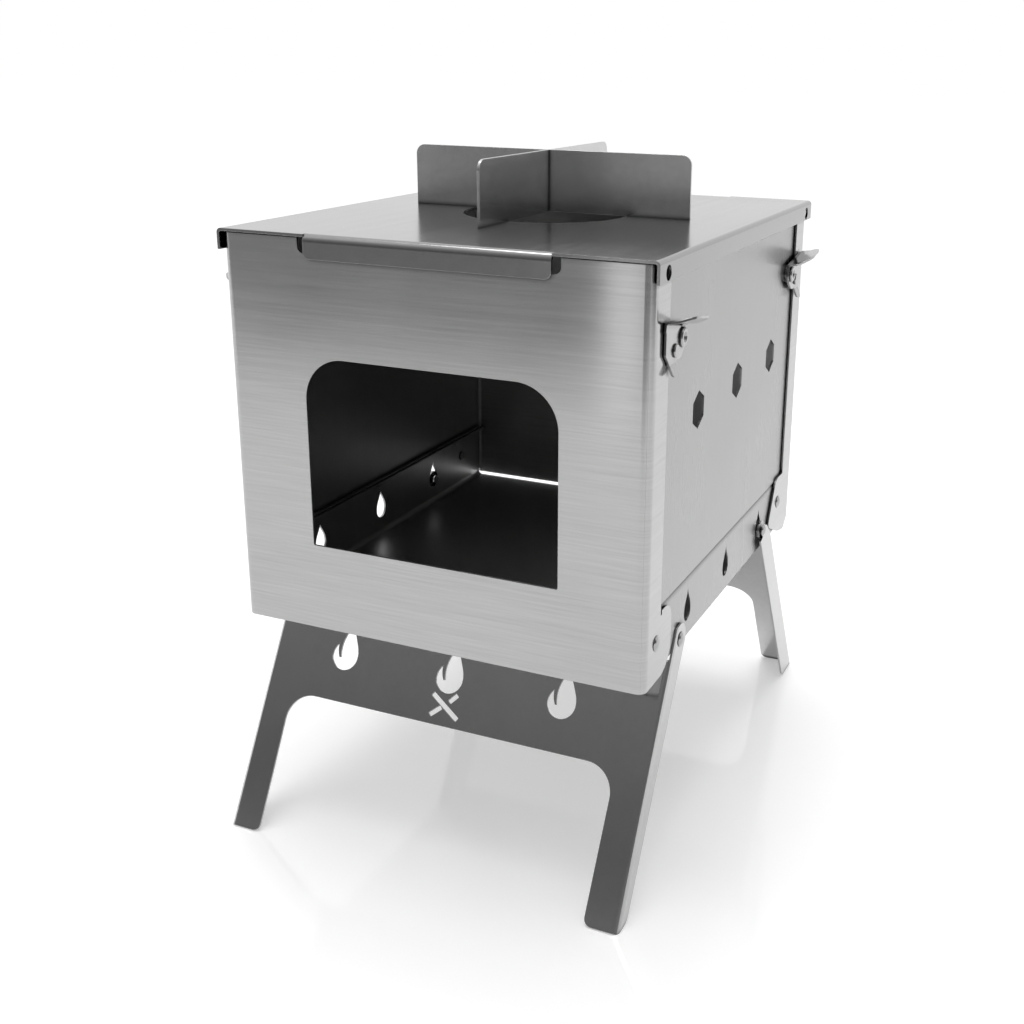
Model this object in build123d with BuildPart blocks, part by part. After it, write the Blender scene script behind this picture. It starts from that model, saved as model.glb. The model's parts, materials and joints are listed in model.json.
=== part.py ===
from build123d import *
import math
import os

# Folding sheet-metal firebox stove, in millimetres.
# +X is the stove's right seen from the front, +Y points to the rear, +Z is up.
# The origin is on the ground, under the middle of the footprint.

# Sheets and clearances
SHEET = 1.0
LID_SHEET = 1.2
STAND_SHEET = 1.2
RUNNING = 0.05
SLOT_PLAY = 0.2
SLOT_END_PLAY = 0.6
BREAK = 0.3

# Body: heights are above the front panel's bottom edge, depths behind its outer face
RIDE_HEIGHT = 98.7
PANEL_HALF = 97.6
PANEL_TOP = 174.9
PANEL_FLANGE = 17.8
PANEL_BEND = 4.0
BODY_DEPTH = 227.0
REAR_PANEL_BOTTOM = 2.3
REAR_CORNER_BOTTOM = 4.5
WINDOW_HALF = 59.05
WINDOW_BOTTOM = 39.7
WINDOW_TOP = 124.9
WINDOW_RADIUS = 19.0
RECESS_HALF = 59.7
RECESS_BOTTOM = 168.5
RECESS_RADIUS = 3.0

# Base tray, a channel with its side walls returned inwards at the top
TRAY_HALF = 96.3
TRAY_FLOOR = 0.3
TRAY_TOP = 31.3
TRAY_RETURN = 4.6
TRAY_END = 3.2
TRAY_FLOOR_BEND = 3.5
TRAY_TOP_BEND = 3.0
FLAME_HOLE_DEPTHS = (56.5, 112.5, 168.5)
FLAME_HOLE_TIP = 24.8
FLAME_HOLE_CENTRE = 14.2
FLAME_HOLE_RADIUS = 4.4

# Side panels, flush with the tray's walls; only the right one has vents
SIDE_HALF = 96.3
SIDE_FRONT = 3.5
SIDE_TOP = 175.4
HEX_DEPTHS = (61.3, 117.7, 174.1)
HEX_HEIGHT = 105.0
HEX_RADIUS = 8.5
TAB_DEPTHS = (30.0, 113.5, 197.0)
TAB_LENGTH = 12.0
TAB_DROP = 3.0
TAB_HALF = 93.4
TAB_BEND = 1.2

# Lid
LID_TOP = 176.6
LID_HALF = 99.6
LID_SKIRT = 9.0
LID_FRONT = -0.7
LID_REAR = 228.6
LIP_HALF = 56.1
LIP_FACE = 0.1
LIP_BOTTOM = 166.4
LID_HOLE_RADIUS = 39.0
LID_HOLE_DEPTH = 115.5
LID_BEND = 2.0
LIP_BEND = 3.2
LIP_LAP = 12.0
LIP_RADIUS = 3.0
SKIRT_HOLE_RADIUS = 3.0
SKIRT_HOLE_INSET = 9.7
SKIRT_HOLE_DROP = 5.6

# Pot stand, two plates crossed in a half lap; only the lower one has tabs, in slots of the lid
STAND_X = -1.5
STAND_DEPTH = 121.0
STAND_LENGTH = 142.0
STAND_HEIGHT = 28.6
STAND_RADIUS = 4.5
STAND_TAB_OFFSET = 59.6
STAND_TAB_LENGTH = 7.0
STAND_TAB_DROP = 2.5

# Leg frames: the plate's outer face passes through (depth, 0) and leans outwards
FRONT_LEG_DEPTH = 32.6
FRONT_SPLAY = math.radians(29.63)
FRONT_PIVOT = (44.5, 6.2)
FRONT_PIVOT_MARGIN = 7.0
FRONT_FOOT_WIDTH = 9.5
FRONT_LEG_HALF = 97.6
FRONT_ARCH_HALF = 81.8
REAR_LEG_DEPTH = 192.5
REAR_SPLAY = math.radians(31.5)
REAR_PIVOT = (170.0, 13.8)
REAR_PIVOT_MARGIN = 5.5
REAR_FOOT_WIDTH = 17.5
REAR_LEG_HALF = 98.9
REAR_ARCH_HALF = 81.0
ARCH_TOP = 47.6
ARCH_RADIUS = 13.0
LEG_BEND = 3.0
FOOT_RADIUS = 3.5
FLANGE_FOOT_RADIUS = 7.0
PLATE_STOP = 0.25

# Campfire cut-outs in the front leg plate, measured down the plate
FLAME_X = (-58.2, -2.6, 53.0)
LOG_WIDTH = 2.2

# Latches on the side panels, given for the front right corner
LATCH_INNER = 97.9
LATCH_PIVOT = (29.4, 142.8)
LATCH_STUD = (21.0, 139.0)
LATCH_TOP_FRONT = (10.6, 151.8)
LATCH_TOP_REAR = (33.8, 147.93)
THUMB_REACH = 11.3
THUMB_RISE = 3.3
THUMB_RADIUS = 8.0

# Rivets
SHANK = 1.6
HEAD = 3.3
HEAD_HEIGHT = 1.4
TAIL = 2.4
TAIL_HEIGHT = 0.9
LATCH_HEAD = 4.0
FRONT_EAR_RIVET = (12.9, 17.9)
REAR_EAR_RIVET = (201.7, 19.0)

# Frame of the part: half way between the two feet, on the ground
front_leg_length = (RIDE_HEIGHT - SHEET * math.sin(FRONT_SPLAY)) / math.cos(FRONT_SPLAY)
rear_leg_length = (RIDE_HEIGHT - SHEET * math.sin(REAR_SPLAY)) / math.cos(REAR_SPLAY)
front_foot = FRONT_LEG_DEPTH - front_leg_length * math.sin(FRONT_SPLAY)
rear_foot = REAR_LEG_DEPTH + rear_leg_length * math.sin(REAR_SPLAY)
middle = (front_foot + rear_foot) / 2
THROUGH = 150.0


def y_at(depth):
    return depth - middle


def z_at(height):
    return height + RIDE_HEIGHT


def yz(depth, height):
    return (y_at(depth), z_at(height))


def from_rear(depth):
    return BODY_DEPTH - depth


def save(part, name):
    part.label = name
    export_step(part, f"parts/{name}.step")


def side_plane(x=0.0):
    """Plane at a given x whose sketches are drawn in (y, z)."""
    return Plane.YZ.offset(x)


def front_plane(depth):
    """Plane at a given depth whose sketches are drawn in (x, z), facing forwards."""
    return Plane.XZ.offset(-y_at(depth))


def wrap_panel(ear, face):
    """Front or rear panel: a sheet with its side flanges bent inwards and an ear low on each flange.

    face turns a depth behind the panel's own outer face into a depth behind the front panel's.
    ear is the ear's outline below the flange, from the flange's edge round to the panel's face.
    """
    mid = PANEL_HALF - SHEET / 2
    deep = max(point[0] for point, radius in ear) + SHEET
    corner = PANEL_BEND - SHEET / 2
    near = y_at(face(SHEET / 2))
    far = y_at(face(deep))
    lowest = min(point[1] for point, radius in ear)
    outline = [((-SHEET, PANEL_TOP), BREAK), ((PANEL_FLANGE, PANEL_TOP), 1.0)]
    outline += ear
    outline += [((-SHEET, ear[-1][0][1]), BREAK)]
    points = [yz(face(depth), height) for (depth, height), radius in outline]
    radii = [radius for point, radius in outline]
    with BuildPart() as panel:
        with BuildSketch(Plane.XY.offset(z_at(lowest))):
            with BuildLine():
                FilletPolyline((-mid, far), (-mid, near), (mid, near), (mid, far), radius=corner)
            trace(line_width=SHEET)
        extrude(amount=PANEL_TOP - lowest)
        with BuildSketch(side_plane()):
            with BuildLine():
                FilletPolyline(*points, radius=radii, close=True)
            make_face()
        extrude(amount=THROUGH, both=True, mode=Mode.INTERSECT)
        with BuildSketch(front_plane(face(-SHEET))) as recess:
            with Locations((0, z_at(PANEL_TOP))):
                Rectangle(2 * RECESS_HALF, 2 * (PANEL_TOP - RECESS_BOTTOM))
            fillet(recess.vertices(), RECESS_RADIUS)
        extrude(amount=y_at(face(-SHEET)) - y_at(face(2 * SHEET)), mode=Mode.SUBTRACT)
    return panel.part


def make_front_panel():
    ear = [
        ((PANEL_FLANGE, 28.2), BREAK),
        ((PANEL_FLANGE + 1.4, 28.2), BREAK),
        ((PANEL_FLANGE + 1.4, 30.0), 0.4),
        ((31.4, 30.0), 8.0),
        ((31.4, 0.0), 13.0),
    ]
    body = wrap_panel(ear, lambda depth: depth)
    with BuildPart() as panel:
        add(body)
        with BuildSketch(front_plane(-SHEET)) as window:
            with Locations((0, z_at((WINDOW_BOTTOM + WINDOW_TOP) / 2))):
                Rectangle(2 * WINDOW_HALF, WINDOW_TOP - WINDOW_BOTTOM)
            fillet(window.vertices().group_by(Axis.Y)[-1], WINDOW_RADIUS)
            fillet(window.vertices().group_by(Axis.Y)[0], 0.8)
        extrude(amount=-3 * SHEET, mode=Mode.SUBTRACT)
        with BuildSketch(side_plane()):
            with Locations(yz(*FRONT_EAR_RIVET)):
                Circle(SHANK + RUNNING)
        extrude(amount=THROUGH, both=True, mode=Mode.SUBTRACT)
    return panel.part


def make_rear_panel():
    ear = [
        ((PANEL_FLANGE, 33.0), BREAK),
        ((30.5, 33.0), 8.0),
        ((42.7, 9.9), 3.5),
        ((22.1, 1.0), 20.0),
        ((10.0, -1.5), 5.0),
        ((3.0, REAR_CORNER_BOTTOM), 1.5),
        ((1.4, REAR_CORNER_BOTTOM), 0.3),
        ((1.4, REAR_PANEL_BOTTOM), 0.3),
    ]
    body = wrap_panel(ear, from_rear)
    with BuildPart() as panel:
        add(body)
        with BuildSketch(side_plane()):
            with Locations(yz(*REAR_EAR_RIVET)):
                Circle(SHANK + RUNNING)
        extrude(amount=THROUGH, both=True, mode=Mode.SUBTRACT)
    return panel.part


def make_base_tray():
    wall = TRAY_HALF - SHEET / 2
    shelf = z_at(TRAY_TOP - SHEET / 2)
    floor = z_at(TRAY_FLOOR + SHEET / 2)
    inner = TRAY_HALF - TRAY_RETURN
    path = [(-inner, shelf), (-wall, shelf), (-wall, floor), (wall, floor), (wall, shelf), (inner, shelf)]
    top_bend = TRAY_TOP_BEND - SHEET / 2
    floor_bend = TRAY_FLOOR_BEND - SHEET / 2
    with BuildPart() as tray:
        with BuildSketch(front_plane(BODY_DEPTH - TRAY_END)):
            with BuildLine():
                FilletPolyline(*path, radius=[top_bend, floor_bend, floor_bend, top_bend])
            trace(line_width=SHEET)
        extrude(amount=BODY_DEPTH - 2 * TRAY_END)
        for depth in FLAME_HOLE_DEPTHS:
            with BuildSketch(side_plane()):
                with BuildLine():
                    tip = yz(depth, FLAME_HOLE_TIP)
                    left = yz(depth - FLAME_HOLE_RADIUS, FLAME_HOLE_CENTRE)
                    right = yz(depth + FLAME_HOLE_RADIUS, FLAME_HOLE_CENTRE)
                    low = yz(depth, FLAME_HOLE_CENTRE - FLAME_HOLE_RADIUS)
                    ThreePointArc(left, low, right)
                    Spline(right, tip, tangents=[(0, 1), (-0.25, 1)])
                    Spline(tip, left, tangents=[(-0.25, -1), (0, -1)])
                make_face()
            extrude(amount=THROUGH, both=True, mode=Mode.SUBTRACT)
        for x in (-1, 1):
            centres = [(x * TAB_HALF, y_at(depth)) for depth in TAB_DEPTHS]
            with BuildSketch(Plane.XY.offset(z_at(TRAY_TOP - TRAY_TOP_BEND))):
                with Locations(*centres):
                    Rectangle(SHEET + SLOT_PLAY, TAB_LENGTH + SLOT_END_PLAY)
            extrude(amount=2 * TRAY_TOP_BEND, mode=Mode.SUBTRACT)
        pins = [FRONT_EAR_RIVET, REAR_EAR_RIVET, FRONT_PIVOT, REAR_PIVOT]
        with BuildSketch(side_plane()):
            with Locations(*[yz(*pin) for pin in pins]):
                Circle(SHANK + RUNNING)
        extrude(amount=THROUGH, both=True, mode=Mode.SUBTRACT)
    return tray.part


def make_side_panel(side):
    """Side panel; side is 1 for the right one, which has the vents, and -1 for the left one.

    Its foot is bent inwards over the tray's returned edge, with three tabs that hang in slots there.
    """
    bottom = TRAY_TOP + RUNNING
    length = BODY_DEPTH - 2 * SIDE_FRONT
    with BuildPart() as panel:
        with BuildSketch(side_plane(side * SIDE_HALF)) as outline:
            with Locations(yz(BODY_DEPTH / 2, (bottom + SIDE_TOP) / 2)):
                Rectangle(length, SIDE_TOP - bottom)
            fillet(outline.vertices(), 1.0)
            if side > 0:
                with Locations(*[yz(depth, HEX_HEIGHT) for depth in HEX_DEPTHS]):
                    RegularPolygon(HEX_RADIUS, 6, rotation=30, mode=Mode.SUBTRACT)
            with Locations(yz(*LATCH_PIVOT), yz(from_rear(LATCH_PIVOT[0]), LATCH_PIVOT[1])):
                Circle(SHANK + RUNNING, mode=Mode.SUBTRACT)
        extrude(amount=-side * SHEET)
        ledge = z_at(bottom + SHEET / 2)
        root = SIDE_HALF - SHEET + 0.2
        points = [(root, ledge), (TAB_HALF, ledge), (TAB_HALF, z_at(bottom - TAB_DROP))]
        for depth in TAB_DEPTHS:
            with BuildSketch(front_plane(depth + TAB_LENGTH / 2)):
                with BuildLine():
                    FilletPolyline(*[(side * x, z) for x, z in points], radius=TAB_BEND - SHEET / 2)
                trace(line_width=SHEET)
            extrude(amount=TAB_LENGTH)
        foot_width = root - TAB_HALF + SHEET / 2
        with BuildSketch(front_plane(BODY_DEPTH - SIDE_FRONT)):
            with Locations((side * (root - foot_width / 2), ledge)):
                Rectangle(foot_width, SHEET)
        extrude(amount=length)
    return panel.part


def make_lid():
    mid_top = z_at(LID_TOP - LID_SHEET / 2)
    mid_side = LID_HALF - LID_SHEET / 2
    low = z_at(LID_TOP - LID_SKIRT)
    lip_front = y_at(-LIP_FACE - LID_SHEET / 2)
    lip_rear = y_at(BODY_DEPTH + LIP_FACE + LID_SHEET / 2)
    lip_low = z_at(LIP_BOTTOM)
    bend = LID_BEND - LID_SHEET / 2
    lip_bend = LIP_BEND - LID_SHEET / 2
    with BuildPart() as lips:
        with BuildSketch(side_plane(-LIP_HALF)):
            for face, back in ((lip_front, LIP_LAP), (lip_rear, -LIP_LAP)):
                with BuildLine():
                    FilletPolyline((face, lip_low), (face, mid_top), (face + back, mid_top), radius=lip_bend)
                trace(line_width=LID_SHEET)
        extrude(amount=2 * LIP_HALF)
        fillet(lips.edges().filter_by(Axis.Y).group_by(Axis.Z)[0], LIP_RADIUS)
    with BuildPart() as lid:
        with BuildSketch(front_plane(LID_REAR)):
            with BuildLine():
                points = [(-mid_side, low), (-mid_side, mid_top), (mid_side, mid_top), (mid_side, low)]
                FilletPolyline(*points, radius=bend)
            trace(line_width=LID_SHEET)
        extrude(amount=LID_REAR - LID_FRONT)
        with BuildSketch(Plane.XY.offset(z_at(LID_TOP - 2 * LID_SHEET))):
            with Locations((0, y_at(LID_FRONT)), (0, y_at(LID_REAR))):
                Rectangle(2 * LIP_HALF, 2 * LIP_BEND)
        extrude(amount=3 * LID_SHEET, mode=Mode.SUBTRACT)
        add(lips.part)
        with BuildSketch(Plane.XY.offset(z_at(LID_TOP - 2 * LID_SHEET))):
            with Locations((0, y_at(LID_HOLE_DEPTH))):
                Circle(LID_HOLE_RADIUS)
            with Locations(*[(STAND_X + side * STAND_TAB_OFFSET, y_at(STAND_DEPTH)) for side in (-1, 1)]):
                Rectangle(STAND_TAB_LENGTH + SLOT_END_PLAY, STAND_SHEET + SLOT_PLAY)
        extrude(amount=3 * LID_SHEET, mode=Mode.SUBTRACT)
        depths = (LID_FRONT + SKIRT_HOLE_INSET, LID_REAR - SKIRT_HOLE_INSET)
        with BuildSketch(side_plane()):
            with Locations(*[yz(depth, LID_TOP - SKIRT_HOLE_DROP) for depth in depths]):
                Circle(SKIRT_HOLE_RADIUS)
        extrude(amount=THROUGH, both=True, mode=Mode.SUBTRACT)
    return lid.part


def make_stand_plate(plane, lower):
    """One plate of the pot stand, drawn in (along, height above the lid).

    The lower plate has its lap slot at the top and two tabs, the upper one its slot at the bottom.
    """
    lap = STAND_HEIGHT + SLOT_PLAY
    slot_centre = STAND_HEIGHT if lower else 0
    with BuildPart() as plate:
        with BuildSketch(plane) as outline:
            with Locations((0, STAND_HEIGHT / 2)):
                Rectangle(STAND_LENGTH, STAND_HEIGHT)
            fillet(outline.vertices().group_by(Axis.Y)[-1], STAND_RADIUS)
            if lower:
                with Locations((-STAND_TAB_OFFSET, 0), (STAND_TAB_OFFSET, 0)):
                    Rectangle(STAND_TAB_LENGTH, 2 * STAND_TAB_DROP)
            with Locations((0, slot_centre)):
                Rectangle(STAND_SHEET + SLOT_PLAY, lap, mode=Mode.SUBTRACT)
        extrude(amount=STAND_SHEET / 2, both=True)
    return plate.part


def flame_outline():
    """Flame with a small side tongue; x across the plate, y up it, so the distances down are negative."""
    tip = (0.3, -11.0)
    Spline(tip, (4.4, -19.8), (6.1, -26.0), tangents=[(0.45, -1), (0, -1)])
    ThreePointArc((6.1, -26.0), (-0.6, -33.0), (-7.3, -26.4))
    ThreePointArc((-7.3, -26.4), (-6.7, -23.5), (-5.1, -21.1))
    ThreePointArc((-5.1, -21.1), (-4.75, -24.4), (-3.6, -27.3))
    ThreePointArc((-3.6, -27.3), (-3.0, -27.5), (-2.8, -26.9))
    Spline((-2.8, -26.9), (-3.3, -21.5), tip, tangents=[(-0.25, 1), (0.45, 1)])


def make_leg_frame(top_depth, splay, pivot, margin, foot_width, half, arch_half, length, outwards):
    """Leg frame: one plate with a flange bent inwards at each side, pivoted on the tray's walls.

    outwards is -1 for the front frame and +1 for the rear one. Points (s, w) are measured down
    the plate from the height of the front panel's bottom edge, and inwards from its outer face.
    """
    sine = math.sin(splay)
    cosine = math.cos(splay)

    def spot(s, w):
        return yz(top_depth + outwards * (s * sine - w * cosine), -s * cosine - w * sine)

    from_top = -outwards * (pivot[0] - top_depth)
    pivot_s = -from_top * sine - pivot[1] * cosine
    pivot_w = from_top * cosine - pivot[1] * sine
    widest = pivot_w + margin
    origin = (0, *spot(0, 0))
    down = (0, outwards * sine, -cosine)
    outward = (0, outwards * cosine, sine)
    above = 20.0
    top = (0, *spot(-above, 0))
    channel_plane = Plane(origin=top, x_dir=(-outwards, 0, 0), z_dir=down)
    plate_plane = Plane(origin=origin, x_dir=(-outwards, 0, 0), z_dir=outward)
    mid = half - SHEET / 2
    depth = max(widest, foot_width) + SHEET
    with BuildPart() as frame:
        with BuildSketch(channel_plane):
            with BuildLine():
                points = [(-mid, -depth), (-mid, -SHEET / 2), (mid, -SHEET / 2), (mid, -depth)]
                FilletPolyline(*points, radius=LEG_BEND - SHEET / 2)
            trace(line_width=SHEET)
        extrude(amount=above + length)
        with BuildSketch(side_plane()) as outline:
            with BuildLine():
                corners = [spot(pivot_s, pivot_w - margin), spot(0, -0.2), spot(length + 1, -0.2)]
                tread = (RIDE_HEIGHT - foot_width * sine) / cosine
                corners += [spot(length, SHEET), spot(tread, foot_width), spot(pivot_s, widest)]
                radii = [0.3, 0.3, 0.2, 0.3, FLANGE_FOOT_RADIUS, 0.3]
                FilletPolyline(*corners, radius=radii, close=True)
            make_face()
            with Locations(yz(*pivot)):
                Circle(margin)
        extrude(amount=THROUGH, both=True, mode=Mode.INTERSECT)
        with BuildSketch(Plane.XY.offset(z_at(PLATE_STOP))):
            with Locations((0, y_at(top_depth))):
                Rectangle(2 * (half - SHEET - 0.15), 120)
        extrude(amount=60, mode=Mode.SUBTRACT)
        with BuildSketch(plate_plane) as arch:
            with BuildLine():
                wide = arch_half + 0.8
                foot = -length - 6
                points = [(-arch_half, foot), (-wide, -ARCH_TOP), (wide, -ARCH_TOP), (arch_half, foot)]
                FilletPolyline(*points, radius=ARCH_RADIUS)
                Line((arch_half, foot), (-arch_half, foot))
            make_face()
        extrude(amount=-SHEET - 0.5, mode=Mode.SUBTRACT)
        with BuildSketch(side_plane()):
            with Locations(yz(*pivot)):
                Circle(SHANK + RUNNING)
        extrude(amount=THROUGH, both=True, mode=Mode.SUBTRACT)
        ends = frame.edges().filter_by(lambda edge: abs(abs(edge.center().X) - arch_half) < 0.3)
        ends = ends.filter_by(lambda edge: edge.center().Z < 1.5 and abs(edge.length - SHEET) < 0.3)
        fillet(ends, FOOT_RADIUS)
    return frame.part, plate_plane


def make_front_leg():
    blank, plate_plane = make_leg_frame(
        FRONT_LEG_DEPTH, FRONT_SPLAY, FRONT_PIVOT, FRONT_PIVOT_MARGIN, FRONT_FOOT_WIDTH,
        FRONT_LEG_HALF, FRONT_ARCH_HALF, front_leg_length, -1)
    with BuildPart() as leg:
        add(blank)
        for x in FLAME_X:
            moved = Plane(origin=plate_plane.from_local_coords((x, 0, 0)), x_dir=(1, 0, 0), z_dir=plate_plane.z_dir)
            with BuildSketch(moved):
                with BuildLine():
                    flame_outline()
                make_face()
            extrude(amount=-SHEET - 0.5, mode=Mode.SUBTRACT)
        with BuildSketch(plate_plane):
            with BuildLine():
                Line((-9.6, -34.2), (4.9, -43.5))
            trace(line_width=LOG_WIDTH)
            with BuildLine():
                Line((-9.0, -43.7), (-4.1, -39.5))
            trace(line_width=LOG_WIDTH)
            with BuildLine():
                Line((-0.7, -36.6), (2.7, -32.8))
            trace(line_width=LOG_WIDTH)
        extrude(amount=-SHEET - 0.5, mode=Mode.SUBTRACT)
    return leg.part


def make_rear_leg():
    leg, plate_plane = make_leg_frame(
        REAR_LEG_DEPTH, REAR_SPLAY, REAR_PIVOT, REAR_PIVOT_MARGIN, REAR_FOOT_WIDTH,
        REAR_LEG_HALF, REAR_ARCH_HALF, rear_leg_length, 1)
    return leg


def make_latch():
    """Turn latch of the front right corner: hub, finger over the panel's flange, and thumb tab."""
    mid = LATCH_INNER + SHEET / 2
    rise = math.atan2(LATCH_TOP_FRONT[1] - LATCH_TOP_REAR[1], LATCH_TOP_REAR[0] - LATCH_TOP_FRONT[0])
    back = (0, math.cos(rise), -math.sin(rise))
    up = (0, math.sin(rise), math.cos(rise))
    corner = (0, *yz(*LATCH_TOP_REAR))
    width = math.dist(LATCH_TOP_FRONT, LATCH_TOP_REAR)
    reach = mid + THUMB_REACH
    with BuildPart() as thumb:
        with BuildSketch(Plane(origin=corner, x_dir=(1, 0, 0), z_dir=tuple(-v for v in back))):
            with BuildLine():
                FilletPolyline((mid, -4), (mid, -0.3), (mid + 5, 0.4), (reach + 0.5, THUMB_RISE), radius=[1.6, 5.0])
            trace(line_width=SHEET)
        extrude(amount=width)
        with BuildSketch(Plane(origin=corner, x_dir=(1, 0, 0), z_dir=up)) as plan:
            with Locations(((LATCH_INNER + reach) / 2, -width / 2)):
                Rectangle(reach - LATCH_INNER, width)
            fillet(plan.vertices().group_by(Axis.X)[-1], THUMB_RADIUS)
        extrude(amount=10, both=True, mode=Mode.INTERSECT)
    outline = [
        (LATCH_TOP_FRONT, BREAK),
        (LATCH_TOP_REAR, BREAK),
        ((34.6, 139.8), 4.5),
        ((27.5, 134.6), 5.0),
        ((21.8, 134.6), 1.0),
        ((21.3, 129.3), 2.6),
        ((15.0, 129.3), 2.6),
        ((14.6, 134.6), 3.0),
        ((10.6, 138.6), 1.0),
    ]
    with BuildPart() as latch:
        with BuildSketch(front_plane(36)):
            with BuildLine():
                FilletPolyline((mid + 2.4, z_at(128.4)), (mid, z_at(134.4)), (mid, z_at(153)), radius=4)
            trace(line_width=SHEET)
        extrude(amount=28)
        with BuildSketch(side_plane(LATCH_INNER - 2)):
            with BuildLine():
                points = [yz(*point) for point, radius in outline]
                FilletPolyline(*points, radius=[radius for point, radius in outline], close=True)
            make_face()
        extrude(amount=10, mode=Mode.INTERSECT)
        add(thumb.part)
        with BuildSketch(side_plane(LATCH_INNER - 2)):
            with Locations(yz(*LATCH_PIVOT)):
                Circle(SHANK + RUNNING)
            with Locations(yz(*LATCH_STUD)):
                Circle(1.5)
        extrude(amount=4, mode=Mode.SUBTRACT)
    return latch.part


def turned(profile, pin):
    """Solid of revolution about an axis along X through pin; profile is drawn in (x, radius)."""
    depth, height = pin
    axis_plane = Plane(origin=(0, *yz(depth, height)), x_dir=(1, 0, 0), z_dir=(0, -1, 0))
    with BuildPart() as piece:
        with BuildSketch(axis_plane):
            with BuildLine():
                Polyline(*profile, close=True)
            make_face()
        revolve(axis=Axis((0, *yz(depth, height)), (1, 0, 0)))
    return piece.part


def make_rivet(tail_face, head_face, pin):
    """Domed rivet: tail spread on the inner sheet, head proud of the outer one."""
    crown = head_face + HEAD_HEIGHT
    rim = 0.2
    rise = HEAD_HEIGHT - rim
    ball = (rise * rise + HEAD * HEAD) / (2 * rise)
    slope = math.asin(HEAD / ball) / 2
    shoulder = (crown - ball * (1 - math.cos(slope)), ball * math.sin(slope))
    axis_plane = Plane(origin=(0, *yz(*pin)), x_dir=(1, 0, 0), z_dir=(0, -1, 0))
    with BuildPart() as rivet:
        with BuildSketch(axis_plane):
            with BuildLine():
                points = [(crown, 0), (tail_face - TAIL_HEIGHT, 0), (tail_face - TAIL_HEIGHT, TAIL)]
                points += [(tail_face, TAIL), (tail_face, SHANK), (head_face, SHANK), (head_face, HEAD)]
                points += [(head_face + rim, HEAD)]
                Polyline(*points)
                ThreePointArc((head_face + rim, HEAD), shoulder, (crown, 0))
            make_face()
        revolve(axis=Axis((0, *yz(*pin)), (1, 0, 0)))
    return rivet.part


def make_latch_rivet():
    """Tubular rivet with a hollow rolled head."""
    tail_face = SIDE_HALF - SHEET
    head_face = LATCH_INNER + SHEET + RUNNING
    crown = head_face + 1.2
    profile = [(head_face - 1.0, 0), (tail_face - TAIL_HEIGHT, 0), (tail_face - TAIL_HEIGHT, TAIL), (tail_face, TAIL)]
    profile += [(tail_face, SHANK), (head_face, SHANK), (head_face, LATCH_HEAD), (crown - 0.5, LATCH_HEAD)]
    profile += [(crown, LATCH_HEAD - 0.7), (crown, 2.2), (head_face + 0.2, 1.3), (head_face - 1.0, 0.9)]
    return turned(profile, LATCH_PIVOT)


def make_latch_washer():
    profile = [(SIDE_HALF, SHANK + RUNNING), (SIDE_HALF, 4.4)]
    profile += [(LATCH_INNER - RUNNING, 4.4), (LATCH_INNER - RUNNING, SHANK + RUNNING)]
    return turned(profile, LATCH_PIVOT)


def make_latch_stud():
    """Button riveted through the latch; its inner end keeps the latch off the side panel."""
    outer = LATCH_INNER + SHEET
    profile = [(SIDE_HALF + 0.2, 0), (SIDE_HALF + 0.2, 2.2), (LATCH_INNER, 2.2), (LATCH_INNER, 1.5)]
    profile += [(outer, 1.5), (outer, 2.75), (outer + 0.6, 2.75), (outer + 1.0, 2.35), (outer + 1.0, 0)]
    return turned(profile, LATCH_STUD)


def make_leg_washer():
    profile = [(TRAY_HALF, SHANK + RUNNING), (TRAY_HALF, 4.5)]
    inner = REAR_LEG_HALF - SHEET - RUNNING
    profile += [(inner, 4.5), (inner, SHANK + RUNNING)]
    return turned(profile, REAR_PIVOT)


def mirrored(part, plane):
    with BuildPart() as copy:
        add(part)
        mirror(about=plane, mode=Mode.REPLACE)
    return copy.part


def save_corners(part, names, rear_copies):
    """Saves a part made for the right side, its left copy and, for the latches, the rear pair."""
    centre = Plane.XZ.offset(-y_at(BODY_DEPTH / 2))
    right_name, left_name = names[:2]
    save(part, right_name)
    save(mirrored(part, Plane.YZ), left_name)
    if rear_copies:
        rear = mirrored(part, centre)
        save(rear, names[2])
        save(mirrored(rear, Plane.YZ), names[3])


os.makedirs("parts", exist_ok=True)
save(make_base_tray(), "base_tray")
save(make_front_panel(), "front_panel")
save(make_rear_panel(), "rear_panel")
save(make_side_panel(1), "right_side_panel")
save(make_side_panel(-1), "left_side_panel")
save(make_lid(), "lid")

stand_origin = (STAND_X, y_at(STAND_DEPTH), z_at(LID_TOP))
lower_plane = Plane(origin=stand_origin, x_dir=(1, 0, 0), z_dir=(0, -1, 0))
upper_plane = Plane(origin=stand_origin, x_dir=(0, 1, 0), z_dir=(1, 0, 0))
save(make_stand_plate(lower_plane, lower=True), "pot_stand_lower_plate")
save(make_stand_plate(upper_plane, lower=False), "pot_stand_upper_plate")

save(make_front_leg(), "front_leg_frame")
save(make_rear_leg(), "rear_leg_frame")
save_corners(make_leg_washer(), ("rear_leg_right_washer", "rear_leg_left_washer"), False)

corners = ("front_right", "front_left", "rear_right", "rear_left")
save_corners(make_latch(), [f"{corner}_latch" for corner in corners], True)
save_corners(make_latch_rivet(), [f"{corner}_latch_rivet" for corner in corners], True)
save_corners(make_latch_washer(), [f"{corner}_latch_washer" for corner in corners], True)
save_corners(make_latch_stud(), [f"{corner}_latch_stud" for corner in corners], True)

tray_inner = TRAY_HALF - SHEET
ear_face = PANEL_HALF
rivets = (
    ("front_panel", FRONT_EAR_RIVET, ear_face),
    ("rear_panel", REAR_EAR_RIVET, ear_face),
    ("front_leg", FRONT_PIVOT, FRONT_LEG_HALF + RUNNING),
    ("rear_leg", REAR_PIVOT, REAR_LEG_HALF + RUNNING),
)
for name, pin, head_face in rivets:
    rivet = make_rivet(tray_inner, head_face, pin)
    save_corners(rivet, (f"{name}_right_rivet", f"{name}_left_rivet"), False)

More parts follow.
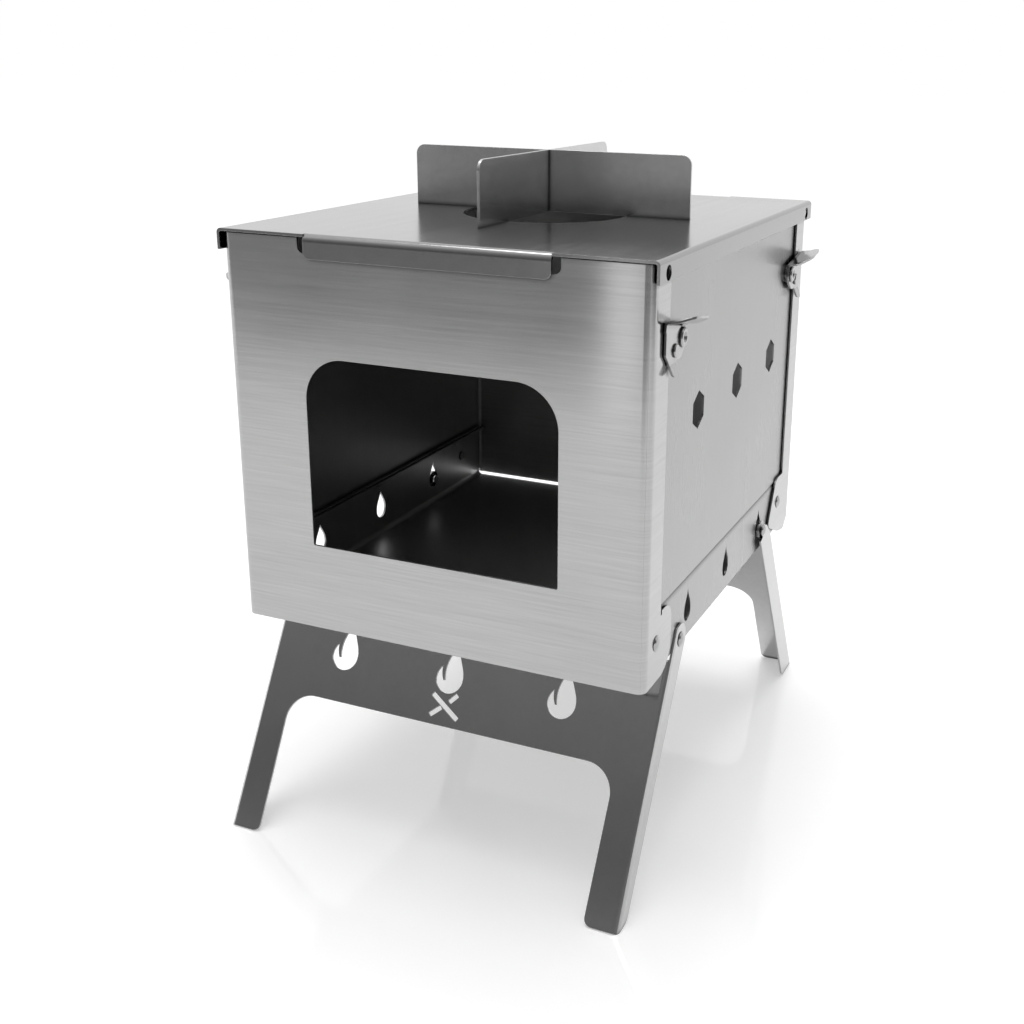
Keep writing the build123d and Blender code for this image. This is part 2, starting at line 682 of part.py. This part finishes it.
print("frame middle is", round(middle, 3), "behind the front panel's outer face")
print("footprint depth", round(rear_foot - front_foot, 2))
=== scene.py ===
import json
import math

import bpy
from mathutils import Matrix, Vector


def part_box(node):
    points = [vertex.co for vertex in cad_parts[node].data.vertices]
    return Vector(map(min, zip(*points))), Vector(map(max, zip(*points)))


# Folding firebox stove in plain sheet steel, in metres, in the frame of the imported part:
# +X is the stove's right seen from the front, +Y points to the rear, +Z is up.
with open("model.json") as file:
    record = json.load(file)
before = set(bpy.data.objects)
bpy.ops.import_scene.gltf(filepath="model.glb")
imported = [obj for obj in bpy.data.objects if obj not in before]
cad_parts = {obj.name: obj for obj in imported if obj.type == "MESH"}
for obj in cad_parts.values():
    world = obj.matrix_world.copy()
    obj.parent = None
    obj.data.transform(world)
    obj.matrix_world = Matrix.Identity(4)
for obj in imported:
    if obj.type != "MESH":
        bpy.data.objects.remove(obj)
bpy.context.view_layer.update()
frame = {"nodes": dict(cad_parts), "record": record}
NODES = frame["nodes"]
MM = 0.001
WHITE = (1.0, 1.0, 1.0, 1.0)

# Camera, at the photograph's angle, with its turn in degrees
CAMERA_PLACE = (0.25727, -0.55455, 0.34724)
CAMERA_TURN = (72.95, -0.641, 23.406)
CAMERA_SENSOR = 36.0
CAMERA_LENS = 45.131
CAMERA_SHIFT = (-0.06728, -0.06347)
CAMERA_NEAR = 0.01

# Floor, which glows more and turns from glossy to matt between two distances from the stove
FLOOR_HALF = 12.0
FLOOR_TONE = 0.86
FLOOR_MOTTLE = (60.0, 60.0, 60.0)
FLOOR_MOTTLE_RANGE = (0.3, 0.7)
FLOOR_ROUGH = (0.05, 0.09)
FLOOR_GLOW = (0.34, 0.62)
FLOOR_GLOW_DISTANCES = (0.5, 2.0)
FLOOR_MATT_DISTANCES = (0.25, 0.60)

# World and cards. A card has the middle of its foot, its width and its turn about Z in degrees.
# Its tones go from its foot, at 0, to its top, at 1.
WORLD_FILL = 0.45
CARD_HEIGHT = 2.4
FRONT_CARD = ((0.0, -0.95, 0.0), 6.0, 0.0)
FRONT_CARD_TONES = ((0.0, 0.36), (0.07, 0.32), (0.15, 0.16), (1.0, 1.0))
RIGHT_CARD = ((1.3, -0.30, 0.0), 1.4, 90.0)
RIGHT_CARD_TONES = ((0.0, 0.24), (0.3, 0.16), (1.0, 1.0))

# Lamps, with their power in watts
STOVE_MIDDLE = (0.0, 0.0, 0.12)
OVERHEAD_PLACE = (-0.1, 0.1, 1.7)
OVERHEAD_SIZE = (1.0, 1.0)
OVERHEAD_POWER = 18.0
STRIP_PLACE = (-0.23, -0.93, 0.11)
STRIP_TARGET = (-0.23, 0.0, 0.11)
STRIP_SIZE = (0.05, 0.22)
STRIP_POWER = 0.035

# Steel. Grains are scratches per metre along X, Y and Z, and painted shade darkens the colour where
# surfaces close in.
GRAIN_LEVEL = (28.0, 28.0, 1500.0)
GRAIN_UPRIGHT = (2400.0, 2400.0, 22.0)
GRAIN_LENGTHWISE = (1500.0, 25.0, 1500.0)
GRAIN_EVEN = (420.0, 420.0, 420.0)
STREAK_SHARE = 0.17
CLOUD_GRAIN = (14.0, 14.0, 14.0)
CLOUD_SWING = 0.06
GLOSS_CLOUDS = 0.25
GLOSS_STREAKS = 0.2
NOISE_ROUGHNESS = 0.55
EDGE_RADIUS = 0.3 * MM
SCRATCH_DEPTH = 0.02 * MM
BRUSH_TURN = 0.25
PAINTED_SHADE_REACH = 2.5 * MM
PAINTED_SHADE_RANGE = (0.40, 0.95)
PAINTED_SHADE_TONE = 0.12

# Inside of the firebox: how far in from the tray's sides, past its ends and above its underside
INSIDE_SIDE_INSET = 0.5 * MM
INSIDE_END_REACH = 2.6 * MM
INSIDE_FLOOR_RISE = 0.6 * MM


def add_node(tree, kind, inputs=None, **settings):
    """Adds a shader node. An input given as a socket is linked, and any other value is set."""
    node = tree.nodes.new(kind)
    for name, value in settings.items():
        setattr(node, name, value)
    for name, value in (inputs or {}).items():
        if isinstance(value, bpy.types.NodeSocket):
            tree.links.new(value, node.inputs[name])
        else:
            node.inputs[name].default_value = value
    return node


def new_material(name):
    """A material with an empty node tree, and that tree."""
    material = bpy.data.materials.new(name)
    material.use_nodes = True
    material.node_tree.nodes.clear()
    return material, material.node_tree


def object_coordinates(tree):
    return add_node(tree, "ShaderNodeTexCoord").outputs["Object"]


def maths(tree, operation, first, second=0.0, third=0.0):
    """Result of a Math node."""
    node = add_node(tree, "ShaderNodeMath", {0: first, 1: second, 2: third}, operation=operation)
    return node.outputs[0]


def remap(tree, value, low, high, to_low, to_high):
    """Result of a Map Range node, clamped."""
    inputs = {"Value": value, "From Min": low, "From Max": high, "To Min": to_low, "To Max": to_high}
    return add_node(tree, "ShaderNodeMapRange", inputs).outputs["Result"]


def swing(tree, noise, amount, value):
    """The value, raised or lowered by up to the amount as the noise leaves its middle."""
    return maths(tree, "MULTIPLY_ADD", maths(tree, "SUBTRACT", noise, 0.5), 2 * amount, value)


def stretched_noise(tree, coordinates, scales, detail):
    """Noise whose features per metre along X, Y and Z are the scales."""
    moved = add_node(tree, "ShaderNodeVectorMath", {0: coordinates, 1: scales}, operation="MULTIPLY")
    inputs = {"Vector": moved.outputs[0], "Scale": 1.0, "Detail": detail, "Roughness": NOISE_ROUGHNESS}
    return add_node(tree, "ShaderNodeTexNoise", inputs).outputs["Fac"]


def inside_mask(tree, coordinates):
    """1 in the firebox, up to the inner faces of its walls, and 0 on their outer faces."""
    low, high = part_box("base_tray")
    place = add_node(tree, "ShaderNodeSeparateXYZ", {0: coordinates}).outputs
    away = maths(tree, "ABSOLUTE", place["X"])
    masks = [
        maths(tree, "LESS_THAN", away, high[0] - INSIDE_SIDE_INSET),
        maths(tree, "GREATER_THAN", place["Y"], low[1] - INSIDE_END_REACH),
        maths(tree, "LESS_THAN", place["Y"], high[1] + INSIDE_END_REACH),
        maths(tree, "GREATER_THAN", place["Z"], low[2] + INSIDE_FLOOR_RISE),
    ]
    result = masks[0]
    for mask in masks[1:]:
        result = maths(tree, "MULTIPLY", result, mask)
    return result


def steel(slot, tone, rough, grain, bump, streak=0.06, fine=0.07,
          inside=1.0, inside_rough=None, brushed=0.0):
    """Rolled or brushed stainless sheet.

    tone is the metal's colour, and streak and fine are how much it varies in broad streaks and
    in scratches. inside is the share of the tone on the firebox's inner faces, as painted shade,
    and inside_rough their roughness. brushed is how far highlights stretch upwards, across level brushing.
    """
    material, tree = new_material(slot)
    coordinates = object_coordinates(tree)
    scratches = stretched_noise(tree, coordinates, grain, detail=4.0)
    streaks = stretched_noise(tree, coordinates, [STREAK_SHARE * count for count in grain], detail=3.0)
    clouds = stretched_noise(tree, coordinates, CLOUD_GRAIN, detail=5.0)

    varied = swing(tree, scratches, fine, 1.0)
    varied = swing(tree, streaks, streak, varied)
    varied = swing(tree, clouds, CLOUD_SWING, varied)
    value = maths(tree, "MULTIPLY", varied, tone)
    gloss = swing(tree, clouds, GLOSS_CLOUDS * rough, rough)
    gloss = swing(tree, streaks, GLOSS_STREAKS * rough, gloss)
    if inside_rough:
        mask = inside_mask(tree, coordinates)
        # Painted shade: the firebox's inner faces keep only the inside share of the tone.
        value = maths(tree, "MULTIPLY", value, remap(tree, mask, 0.0, 1.0, 1.0, inside))
        gloss = maths(tree, "MULTIPLY", gloss, remap(tree, mask, 0.0, 1.0, 1.0, inside_rough / rough))

    # Painted shade: the colour darkens where other surfaces close in within the reach, found by ambient
    # occlusion.
    open_share = add_node(tree, "ShaderNodeAmbientOcclusion", {"Distance": PAINTED_SHADE_REACH}, samples=8)
    painted_shade = remap(tree, open_share.outputs["AO"], *PAINTED_SHADE_RANGE, PAINTED_SHADE_TONE, 1.0)
    value = maths(tree, "MULTIPLY", value, painted_shade)
    colour = add_node(tree, "ShaderNodeCombineColor", {"Red": value, "Green": value, "Blue": value})
    rounded = add_node(tree, "ShaderNodeBevel", {"Radius": EDGE_RADIUS}, samples=4)
    normal = add_node(tree, "ShaderNodeBump", {
        "Height": scratches,
        "Strength": bump,
        "Distance": SCRATCH_DEPTH,
        "Normal": rounded.outputs[0],
    })
    shader = add_node(tree, "ShaderNodeBsdfPrincipled", {
        "Base Color": colour.outputs[0],
        "Metallic": 1.0,
        "Roughness": gloss,
        "Normal": normal.outputs[0],
    })
    if brushed > 0.0:
        level = add_node(tree, "ShaderNodeTangent", direction_type="RADIAL", axis="Z")
        tree.links.new(level.outputs[0], shader.inputs["Tangent"])
        shader.inputs["Anisotropic"].default_value = brushed
        shader.inputs["Anisotropic Rotation"].default_value = BRUSH_TURN
    add_node(tree, "ShaderNodeOutputMaterial", {"Surface": shader.outputs[0]})
    return material


def make_steels():
    """The material of each slot in the record."""
    looks = {
        "front_steel": dict(tone=0.44, rough=0.15, grain=GRAIN_LEVEL, bump=0.03, fine=0.16,
                            inside_rough=0.36, brushed=0.8),
        "body_steel": dict(tone=0.36, rough=0.30, grain=GRAIN_UPRIGHT, bump=0.05,
                           inside=0.98, inside_rough=0.36),
        "lid_steel": dict(tone=0.32, rough=0.18, grain=GRAIN_LENGTHWISE, bump=0.05, streak=0.03, fine=0.03),
        "stand_steel": dict(tone=0.60, rough=0.24, grain=GRAIN_EVEN, bump=0.1, streak=0.08, fine=0.10),
        "leg_steel": dict(tone=0.48, rough=0.13, grain=GRAIN_EVEN, bump=0.05, streak=0.04, fine=0.05),
        "latch_steel": dict(tone=0.42, rough=0.18, grain=GRAIN_EVEN, bump=0.05, streak=0.04),
        "rivet_steel": dict(tone=0.40, rough=0.16, grain=GRAIN_EVEN, bump=0.05),
    }
    return {slot: steel(slot, **look) for slot, look in looks.items()}


def dress_nodes():
    """Gives every CAD node the material of its slot in the record."""
    steels = make_steels()
    for subpart in frame["record"]["subparts"]:
        mesh = NODES[subpart["node"]].data
        mesh.materials.clear()
        mesh.materials.append(steels[subpart["material_slot"]])


def shown_background(tree):
    """1 for rays from the camera, off glossy surfaces and through glass, and 0 for the others."""
    path = add_node(tree, "ShaderNodeLightPath")
    seen = maths(tree, "MAXIMUM", path.outputs["Is Camera Ray"], path.outputs["Is Glossy Ray"])
    return maths(tree, "MAXIMUM", seen, path.outputs["Is Transmission Ray"])


def make_world():
    """White to the camera and in reflections, and dimmer as diffuse light."""
    world = bpy.data.worlds.new("studio")
    bpy.context.scene.world = world
    world.use_nodes = True
    tree = world.node_tree
    tree.nodes.clear()
    strength = remap(tree, shown_background(tree), 0.0, 1.0, WORLD_FILL, 1.0)
    light = add_node(tree, "ShaderNodeBackground", {"Color": WHITE, "Strength": strength})
    add_node(tree, "ShaderNodeOutputWorld", {"Surface": light.outputs[0]})


def make_floor():
    """Pale floor, which keeps the stove's shadow."""
    bpy.ops.mesh.primitive_plane_add(size=2 * FLOOR_HALF, location=(0, 0, 0))
    floor = bpy.context.object
    floor.name = "floor"
    material, tree = new_material("pale_floor")
    coordinates = object_coordinates(tree)
    pale = (FLOOR_TONE, FLOOR_TONE, FLOOR_TONE, 1.0)
    mottle = stretched_noise(tree, coordinates, FLOOR_MOTTLE, detail=3.0)
    glossy = add_node(tree, "ShaderNodeBsdfPrincipled", {
        "Base Color": pale,
        "Roughness": remap(tree, mottle, *FLOOR_MOTTLE_RANGE, *FLOOR_ROUGH),
        "Specular IOR Level": 0.5,
    })
    matt = add_node(tree, "ShaderNodeBsdfDiffuse", {"Color": pale})
    away = add_node(tree, "ShaderNodeVectorMath", {0: coordinates}, operation="LENGTH").outputs["Value"]
    share = remap(tree, away, *FLOOR_MATT_DISTANCES, 0.0, 1.0)
    surface = add_node(tree, "ShaderNodeMixShader", {0: share, 1: glossy.outputs[0], 2: matt.outputs[0]})
    strength = remap(tree, away, *FLOOR_GLOW_DISTANCES, *FLOOR_GLOW)
    strength = maths(tree, "MULTIPLY", shown_background(tree), strength)
    glow = add_node(tree, "ShaderNodeEmission", {"Color": WHITE, "Strength": strength})
    both = add_node(tree, "ShaderNodeAddShader", {0: surface.outputs[0], 1: glow.outputs[0]})
    add_node(tree, "ShaderNodeOutputMaterial", {"Surface": both.outputs[0]})
    floor.data.materials.append(material)


def make_card(name, placing, tones):
    """Card that only reflections show, dark near its foot and white at its top."""
    (x, y, z), width, turn = placing
    bpy.ops.mesh.primitive_plane_add(size=1.0)
    card = bpy.context.object
    card.name = name
    card.scale = (width, CARD_HEIGHT, 1.0)
    card.rotation_euler = (math.radians(90), 0.0, math.radians(turn))
    card.location = (x, y, z + CARD_HEIGHT / 2)
    card.visible_camera = False
    card.visible_diffuse = False
    card.visible_shadow = False
    material, tree = new_material(name)
    place = add_node(tree, "ShaderNodeSeparateXYZ", {0: object_coordinates(tree)}).outputs
    ramp = add_node(tree, "ShaderNodeValToRGB", {"Fac": maths(tree, "ADD", place["Y"], 0.5)})
    stops = ramp.color_ramp.elements
    for height, _ in tones[1:-1]:
        stops.new(height)
    for stop, (height, tone) in zip(stops, tones):
        stop.position = height
        stop.color = (tone, tone, tone, 1.0)
    glow = add_node(tree, "ShaderNodeEmission", {"Color": ramp.outputs["Color"], "Strength": 1.0})
    add_node(tree, "ShaderNodeOutputMaterial", {"Surface": glow.outputs[0]})
    card.data.materials.append(material)


def add_softbox(name, place, target, size, power):
    """Rectangular lamp at a place, turned to face the target."""
    lamp = bpy.data.lights.new(name, "AREA")
    lamp.shape = "RECTANGLE"
    lamp.size, lamp.size_y = size
    lamp.energy = power
    holder = bpy.data.objects.new(name, lamp)
    bpy.context.scene.collection.objects.link(holder)
    holder.location = place
    aim = Vector(target) - Vector(place)
    holder.rotation_euler = aim.to_track_quat("-Z", "Y").to_euler()
    return holder


def make_lamps():
    add_softbox("overhead", OVERHEAD_PLACE, STOVE_MIDDLE, OVERHEAD_SIZE, OVERHEAD_POWER)
    strip = add_softbox("strip", STRIP_PLACE, STRIP_TARGET, STRIP_SIZE, STRIP_POWER)
    strip.visible_shadow = False


def make_camera():
    data = bpy.data.cameras.new("camera")
    data.sensor_width = CAMERA_SENSOR
    data.lens = CAMERA_LENS
    data.shift_x, data.shift_y = CAMERA_SHIFT
    data.clip_start = CAMERA_NEAR
    camera = bpy.data.objects.new("camera", data)
    bpy.context.scene.collection.objects.link(camera)
    camera.location = CAMERA_PLACE
    camera.rotation_euler = [math.radians(angle) for angle in CAMERA_TURN]
    bpy.context.scene.camera = camera


dress_nodes()
make_world()
make_floor()
make_card("front_card", FRONT_CARD, FRONT_CARD_TONES)
make_card("right_card", RIGHT_CARD, RIGHT_CARD_TONES)
make_lamps()
make_camera()
bpy.context.scene.view_settings.view_transform = "Standard"
